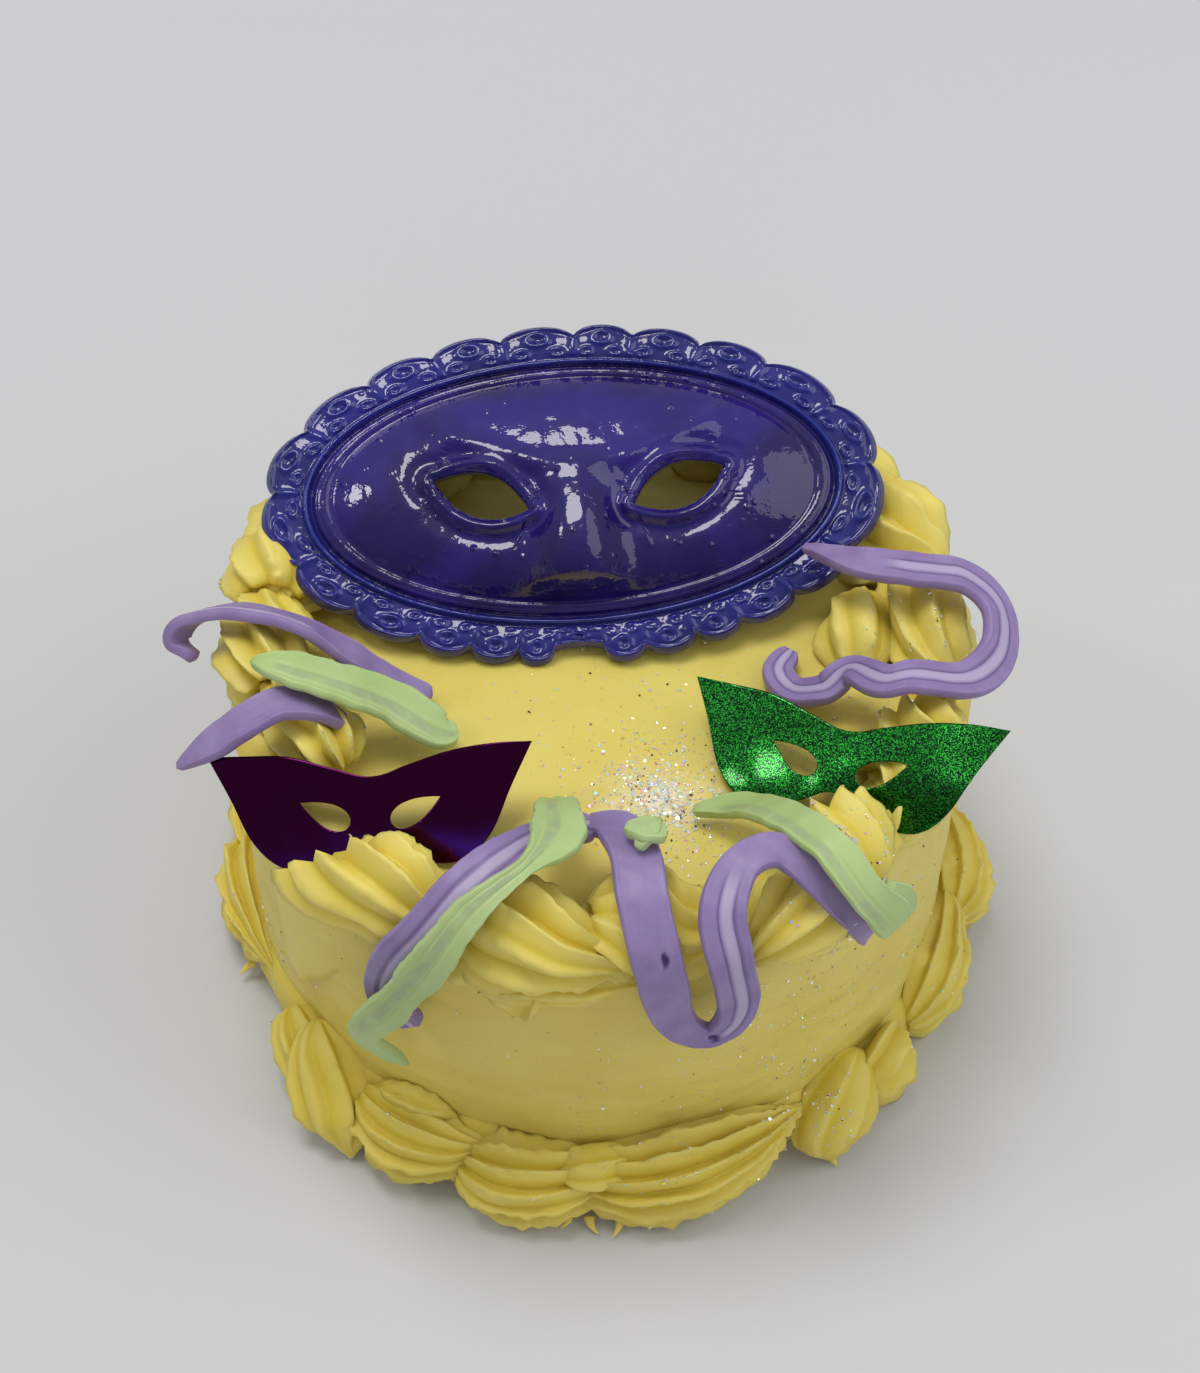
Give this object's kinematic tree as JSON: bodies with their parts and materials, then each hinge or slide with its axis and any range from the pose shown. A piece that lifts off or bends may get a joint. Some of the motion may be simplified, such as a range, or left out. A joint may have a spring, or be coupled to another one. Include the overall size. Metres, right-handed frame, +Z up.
{
  "type": "doll cake",
  "caption": "Small round masquerade cake with piped shell borders, a lace-edged half mask, foil masks and piped ribbons.",
  "frame": {"origin": "middle of the flat foot that the cake stands on", "axes": "+Z up, -Y towards the front, where the foil masks and the ribbons lie, +X to the right seen from the front"},
  "size_m": [0.1025, 0.1008, 0.0697],
  "materials": {
    "icing": "satin",
    "mask_blue": "gloss",
    "foil_green": "glitter foil",
    "foil_purple": "mirror foil",
    "ribbon_lavender": "satin",
    "leaf_green": "satin"
  },
  "bodies": {
    "root": {"cake_drum": "icing", "top_border": "icing", "foot_border": "icing", "lace_mask": "mask_blue", "foil_mask_green": "foil_green", "foil_mask_purple": "foil_purple", "ribbon_left_upper": "ribbon_lavender", "ribbon_left_lower": "ribbon_lavender", "ribbon_right": "ribbon_lavender", "ribbon_front": "ribbon_lavender", "leaf_left": "leaf_green", "leaf_front_left": "leaf_green", "leaf_front_right": "leaf_green", "leaf_dab": "leaf_green"}
  },
  "joints": []
}
